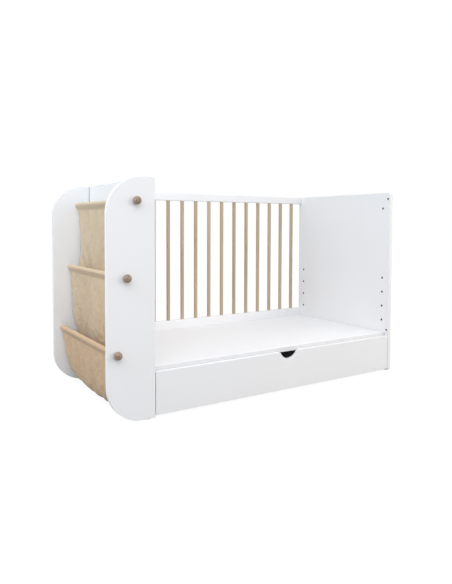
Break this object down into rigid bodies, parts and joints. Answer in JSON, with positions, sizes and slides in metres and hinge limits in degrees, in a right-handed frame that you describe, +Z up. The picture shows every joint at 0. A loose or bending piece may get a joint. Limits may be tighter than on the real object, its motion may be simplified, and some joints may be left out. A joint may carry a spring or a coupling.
{
  "type": "convertible crib",
  "caption": "Open-fronted white crib with a barred back, round-cornered book shelf end with fabric pockets, flat sleeping deck and a full-width drawer on roller runners below.",
  "frame": {"origin": "on the floor, in the middle of the crib's length and depth", "axes": "+X from the book shelf end to the foot end, +Y from the open front to the barred back, +Z up"},
  "size_m": [1.406, 0.71, 0.857],
  "materials": {
    "white_board": "satin white lacquer on board",
    "inner_board": "white melamine on board",
    "beech": "clear lacquered beech",
    "knob_wood": "oiled wood",
    "canvas": "plain woven cotton canvas",
    "zinc_steel": "zinc plated",
    "nylon": "natural nylon"
  },
  "bodies": {
    "frame": {"headboard": "white_board", "footboard": "white_board", "front_shelf_side": "white_board", "rear_shelf_side": "white_board", "back_top_rail": "white_board", "back_bottom_rail": "white_board", "deck_board": "white_board", "deck_cleat_head": "inner_board", "deck_cleat_foot": "inner_board", "deck_cleat_rear": "inner_board", "deck_batten": "inner_board", "bar_01": "beech", "bar_02": "beech", "bar_03": "beech", "bar_04": "beech", "bar_05": "beech", "bar_06": "beech", "bar_07": "beech", "bar_08": "beech", "bar_09": "beech", "bar_10": "beech", "bar_11": "beech", "bar_12": "beech", "bar_13": "beech", "bar_14": "beech", "bar_15": "beech", "rod_top": "beech", "rod_middle": "beech", "rod_bottom": "beech", "anchor_rods": "beech", "panel_dowels": "beech", "knob_top_front": "knob_wood", "knob_middle_front": "knob_wood", "knob_bottom_front": "knob_wood", "knob_top_rear": "knob_wood", "knob_middle_rear": "knob_wood", "knob_bottom_rear": "knob_wood", "pocket_top": "canvas", "pocket_middle": "canvas", "pocket_bottom": "canvas", "rail_bolts": "zinc_steel", "barrel_nuts": "zinc_steel", "cam_discs": "zinc_steel", "cam_bolts": "zinc_steel", "cabinet_runner_head": "zinc_steel", "cabinet_runner_foot": "zinc_steel", "runner_screws": "zinc_steel", "floor_glides": "nylon"},
    "drawer": {"drawer_front": "white_board", "drawer_side_head": "inner_board", "drawer_side_foot": "inner_board", "drawer_back": "inner_board", "drawer_bottom": "inner_board", "drawer_runner_head": "zinc_steel", "drawer_runner_foot": "zinc_steel"},
    "front_roller_head": {"front_roller_head": "nylon"},
    "front_roller_foot": {"front_roller_foot": "nylon"},
    "rear_roller_head": {"rear_roller_head": "nylon"},
    "rear_roller_foot": {"rear_roller_foot": "nylon"}
  },
  "joints": [
    {"name": "drawer_slide", "type": "slide", "parent": "frame", "child": "drawer", "axis": [0, -1, 0], "range_m": [0, 0.41]},
    {"name": "front_roller_head_spin", "type": "hinge", "parent": "frame", "child": "front_roller_head", "pos_m": [-0.5199, -0.295, 0.0363], "axis": [1, 0, 0], "continuous": true},
    {"name": "front_roller_foot_spin", "type": "hinge", "parent": "frame", "child": "front_roller_foot", "pos_m": [0.6799, -0.295, 0.0363], "axis": [1, 0, 0], "continuous": true},
    {"name": "rear_roller_head_spin", "type": "hinge", "parent": "drawer", "child": "rear_roller_head", "pos_m": [-0.5176, 0.225, 0.0373], "axis": [1, 0, 0], "continuous": true},
    {"name": "rear_roller_foot_spin", "type": "hinge", "parent": "drawer", "child": "rear_roller_foot", "pos_m": [0.6776, 0.225, 0.0373], "axis": [1, 0, 0], "continuous": true}
  ],
  "couplings": [
    {"joint": "front_roller_head_spin", "follows": "drawer_slide", "rad_per_m": 100},
    {"joint": "front_roller_foot_spin", "follows": "drawer_slide", "rad_per_m": 100},
    {"joint": "rear_roller_head_spin", "follows": "drawer_slide", "rad_per_m": 90.909},
    {"joint": "rear_roller_foot_spin", "follows": "drawer_slide", "rad_per_m": 90.909}
  ]
}
